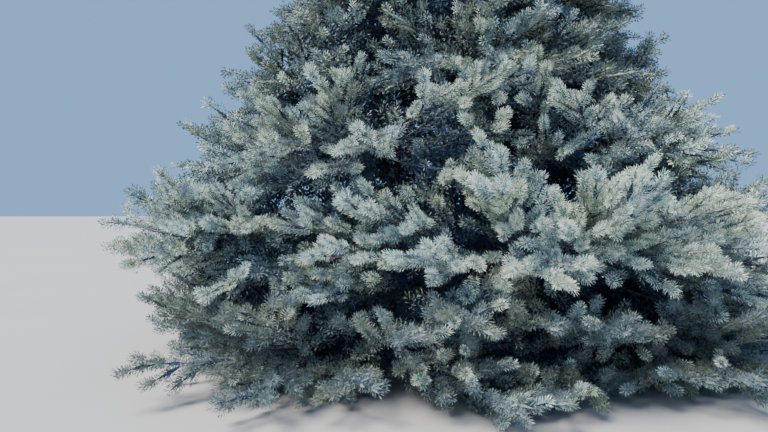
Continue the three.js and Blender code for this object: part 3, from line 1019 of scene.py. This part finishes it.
# Where the painted light is low, blue shoots take the shaded blue: painted shade.
kind = np.where((kind == "blue") & (luck > LIT_BLUE_SHARE * painted_light), "dull", kind)
kind = np.where((kind == "blue") & young & (luck < WAXY_SHARE * painted_light), "silver", kind)
kind = np.where((kind == "shade") & (luck < DEAD_SHARE), "dead", kind)
shoots["kind"] = kind
print({name: int((kind == name).sum()) for name in np.unique(kind).tolist()})

# %% Thin out what can't be seen
# Shoots in the trunk or outside the room go, and some inner ones, but not in the upper tiers, which are
# thin enough to see into.
SPARSE = 0.7
SPARSE_NEAR = 0.8
THICK_TIER = 4
TRUNK_CLEARANCE = 0.05

inside = np.all((shoots["tip"] > low - room) & (shoots["tip"] < high + room), axis=1)
clear = from_trunk > trunk_radius(centre[:, 2]) + TRUNK_CLEARANCE
clear |= shoots["tier"] == len(MASSES_IN_TIER)
most = np.where(shoots["detail"] < 1, SPARSE_NEAR, SPARSE)
hidden = np.isin(kind, ("shade", "dead")) & ((shoots["age"] == SIDE) | (luck > SPARSE))
hidden |= (kind == "green") & (shoots["age"] == SIDE) & (luck > most)
hidden &= shoots["tier"] < THICK_TIER
shoots = picked(shoots, inside & clear & ~hidden)
print(len(shoots["kind"]), "shoots are kept")

# %% [markdown]
# ## Needles
# A needle is a stiff four-sided spike that leaves its shoot at a wide angle. Round the shoot, each needle
# stands a golden angle on from the last, so no two lie in line, as on the real shoot. Near the tip they
# lean forward and close up round the bud. A solid spike would take six triangles, and from a few steps
# away only its outline shows. So each needle here is one long triangle, turned at its own angle about
# its length, and a shoot looks equally full from every side.

# %% Work out the needles
# For each kind, at each level of detail: how many needles a shoot has, and how long and how wide.
KINDS = {
    "silver": ((76, 1.0, 0.65), (32, 1.0, 1.25), (13, 1.0, 2.3)),
    "blue": ((58, 1.0, 0.72), (26, 1.0, 1.35), (11, 1.0, 2.5)),
    "dull": ((50, 1.0, 0.8), (24, 1.0, 1.4), (11, 1.0, 2.5)),
    "green": ((28, 1.0, 1.2), (16, 1.05, 1.9), (9, 1.05, 2.9)),
    "shade": ((16, 1.2, 2.6), (11, 1.25, 3.0), (8, 1.3, 3.8)),
    "dead": ((16, 0.85, 1.2), (14, 0.85, 1.4), (12, 0.85, 1.6)),
}
GOLDEN_ANGLE = math.pi * (3 - math.sqrt(5))
NEEDLE_WIDTH = 0.0046
NEEDLE_ROOT = 0.007
WIDEST = 0.68
NEEDLE_LIFT = 0.12
WIDE_TILT = 68
FORWARD_TILT = 48
TILT_JITTER = 12
ORDER_JITTER = 0.3
FIRST_NEEDLE = 0.6
CROWDING = 1.2
LENGTHS = (0.82, 1.12)
SHORTER_AT_FOOT = 0.25


def needles(shoots, number, longer, wider):
    """Each needle's three points: its root, a point to one side at two thirds of its length, and its
    tip. Its direction is the shoot's, tilted away by an angle that falls towards the shoot's tip, turned
    round the shoot by the golden angle, and swept a little upwards. Its face is turned outwards."""
    base, tip = shoots["base"], shoots["tip"]
    size = (len(base), number)
    along = unit(tip - base)[:, None]
    across, above = sides_of(along, np.array([0.08, 0.05, 1.0]))
    count = np.arange(number)[None]
    order = count + dice.uniform(-ORDER_JITTER, ORDER_JITTER, size)
    share = 1 - (1 - (order + FIRST_NEEDLE) / number).clip(0) ** CROWDING
    turn = (count * GOLDEN_ANGLE + dice.uniform(0, 2 * math.pi, (len(base), 1)))[..., None]
    tilt = WIDE_TILT - FORWARD_TILT * share**5 + dice.uniform(-TILT_JITTER, TILT_JITTER, size)
    tilt = np.radians(tilt)[..., None]
    radial = np.cos(turn) * above + np.sin(turn) * across
    around = np.cos(turn) * across - np.sin(turn) * above
    way = unit(unit(np.cos(tilt) * along + np.sin(tilt) * radial) + UP * NEEDLE_LIFT)
    length = NEEDLE_LENGTH * longer * dice.uniform(*LENGTHS, size)
    length = length * (1 - SHORTER_AT_FOOT * (1 - share) ** 3)
    root = base[:, None] + (tip - base)[:, None] * share[..., None] + radial * NEEDLE_ROOT
    twist = dice.uniform(0, math.pi, size)[..., None]
    blade = np.cos(twist) * around + np.sin(twist) * np.cross(way, around)
    facing = np.sum(np.cross(blade, way) * (radial + 0.5 * along), axis=-1, keepdims=True)
    blade = blade * np.where(facing < 0, -1, 1) * (NEEDLE_WIDTH * wider)
    reached = way * length[..., None]
    return np.stack([root, root + reached * WIDEST + blade, root + reached], axis=2)


def needles_of(shoots, name):
    """The needles of one kind, as one part for each level of detail."""
    parts = []
    for detail, (number, longer, wider) in enumerate(KINDS[name]):
        points = needles(picked(shoots, shoots["detail"] == detail), number, longer, wider)
        parts.append((points, [np.arange(points.size // 3).reshape(-1, 3)]))
    return parts


# %% [markdown]
# ## Wax on the needles
# The needles are green beneath, and a bloom of pale wax makes them blue or silver. A flat colour would
# look like plastic, so each kind mixes two close shades by noise, as the wax is never even, and whole
# sprays are a little warmer or cooler than their neighbours.

# %% Mix the needles' finishes
WAX_SCALE = 38
WAX_RAMP = (0.3, 0.7)
SPRAY_SCALE = 3.5
SPRAY_RAMP = (0.4, 0.62)
WARMER = (12, 5, -12)
WAX_ROUGHER = 0.15
WAX_SMOOTHER = 0.07
NEEDLE_SPECULAR = 0.35
NEEDLE_SHEEN = 0.12


def needle_material(name, deep, pale, roughness):
    """Two close shades mixed by noise, both of them warmer where a wider noise is high, and rougher
    where the second shade shows."""
    material, shader, start = new_material(name, roughness)
    wax = noise_at(start, WAX_SCALE, detail=3).ramp(*WAX_RAMP)
    sprays = noise_at(start, SPRAY_SCALE, detail=1).ramp(*SPRAY_RAMP)
    cool = wax.mix(linear(*deep), linear(*pale))
    warm = wax.mix(linear(*np.add(deep, WARMER)), linear(*np.add(pale, WARMER)))
    feed(shader, "Base Color", sprays.mix(cool, warm))
    feed(shader, "Roughness", wax * WAX_ROUGHER + (roughness - WAX_SMOOTHER))
    shader.inputs["Specular IOR Level"].default_value = NEEDLE_SPECULAR
    shader.inputs["Sheen Weight"].default_value = NEEDLE_SHEEN
    return material


FINISHES = {
    "silver": needle_material("silver_needles", (188, 213, 210), (221, 241, 236), 0.55),
    "blue": needle_material("blue_needles", (118, 139, 143), (145, 166, 167), 0.55),
    # Shaded blue: a darker copy of the blue, painted shade where the painted light is low.
    "dull": needle_material("dull_needles", (88, 107, 112), (114, 132, 135), 0.6),
    # Green: older needles that have lost wax, and darker for their depth as painted shade.
    "green": needle_material("green_needles", (98, 118, 125), (126, 146, 150), 0.6),
    # Shade: painted shade, a dark blue for the depth of the crown.
    "shade": needle_material("shade_needles", (34, 62, 92), (50, 84, 114), 0.65),
    "dead": needle_material("dead_needles", (92, 82, 72), (124, 110, 96), 0.75),
}
# Painted shade: the dark blue of the needles' bases deep in the crown.
painted_shade_core_finish = needle_material("needle_bases_painted_shade", (22, 42, 68), (34, 58, 86), 0.75)
print(len(FINISHES), "finishes of needles")

# %% [markdown]
# ## The crown in pieces
# All needles in one mesh would be too heavy to handle or to export whole. Each kind is a piece in each
# of five bands, from the skirt to the top. The silver piece of a band stands for the band's solids.

# %% Make the needles, band by band
# The tiers of each band, counted from 0. The one past the last is the leader.
BANDS = {
    "skirt": (0,),
    "shelf": (1,),
    "waist": (2, 3),
    "shoulder": (4, 5),
    "top": (6, 7, 8, len(MASSES_IN_TIER)),
}
for band, tiers in BANDS.items():
    in_band = np.isin(shoots["tier"], tiers)
    stems = tuple(f"foliage_{tier + 1}_" for tier in tiers)
    stood_for = [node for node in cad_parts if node.startswith(stems)]
    if band == "top":
        stood_for.append("foliage_leader")
    for name in KINDS:
        chosen = picked(shoots, in_band & (shoots["kind"] == name))
        piece = new_piece(f"needles_{name}_{band}", needles_of(chosen, name), FINISHES[name])
        if name == "silver":
            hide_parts(*stood_for)

# %% [markdown]
# ## Cores, twigs and buds
# The needles' bases stand so close that they can't be told apart, and hide the stem. More needles would
# show this at a great cost, so a slim spindle stands for them and keeps the light from shining through:
# green in outer shoots close to the camera, as painted shade among the needles' bases, blue in those
# farther off, and a dark blue in inner ones, also painted shade. Older growth close to the camera shows
# its bare stem instead. Silver shoots at the tips end in brown buds.

# %% Make the cores
MIDWAY = 0.5
NEAR_CORE_RADIUS = 0.008
STEM_CORE_RADIUS = 0.004
FAR_CORE_RADIUS = 0.012

outer = np.isin(shoots["kind"], ("silver", "blue", "dull"))
close = shoots["detail"] < 1
fresh = shoots["age"] != OLDER
inner = ~outer & ((shoots["detail"] < 2) | ~fresh)
for name, which, radius, finish in (
    # The near outer cores take the green finish as painted shade among the needles' bases.
    ("cores_near", outer & close & fresh, NEAR_CORE_RADIUS, FINISHES["green"]),
    ("stems_near", outer & close & ~fresh, STEM_CORE_RADIUS, twig_bark),
    ("cores_far", outer & ~close & (shoots["age"] != SIDE), FAR_CORE_RADIUS, FINISHES["blue"]),
    ("cores_inner", inner & (shoots["age"] != SIDE), FAR_CORE_RADIUS, painted_shade_core_finish),
):
    few = picked(shoots, which)
    new_piece(name, spindles(few["base"], few["tip"], MIDWAY, radius), finish)

# %% Make the buds and the twigs
BUD_LENGTH = 0.013
BUD_RADIUS = 0.0052
BUD_SUNK = 0.001
BUD_WIDEST = 0.4

budded = picked(shoots, (shoots["kind"] == "silver") & (shoots["age"] == TIP))
heading = unit(budded["tip"] - budded["base"])
bud_foot = budded["tip"] - heading * BUD_SUNK
bud_tip = budded["tip"] + heading * BUD_LENGTH
new_piece("buds", spindles(bud_foot, bud_tip, BUD_WIDEST, BUD_RADIUS), bud_scales)
new_piece("twigs", twig_parts + leader_parts, twig_bark)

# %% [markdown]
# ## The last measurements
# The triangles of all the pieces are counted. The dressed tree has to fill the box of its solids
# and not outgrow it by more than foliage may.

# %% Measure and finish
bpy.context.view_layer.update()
triangles = sum(len(piece.data.loops) - 2 * len(piece.data.polygons) for piece in pieces.values())
print(triangles, "triangles in", len(pieces), "pieces")
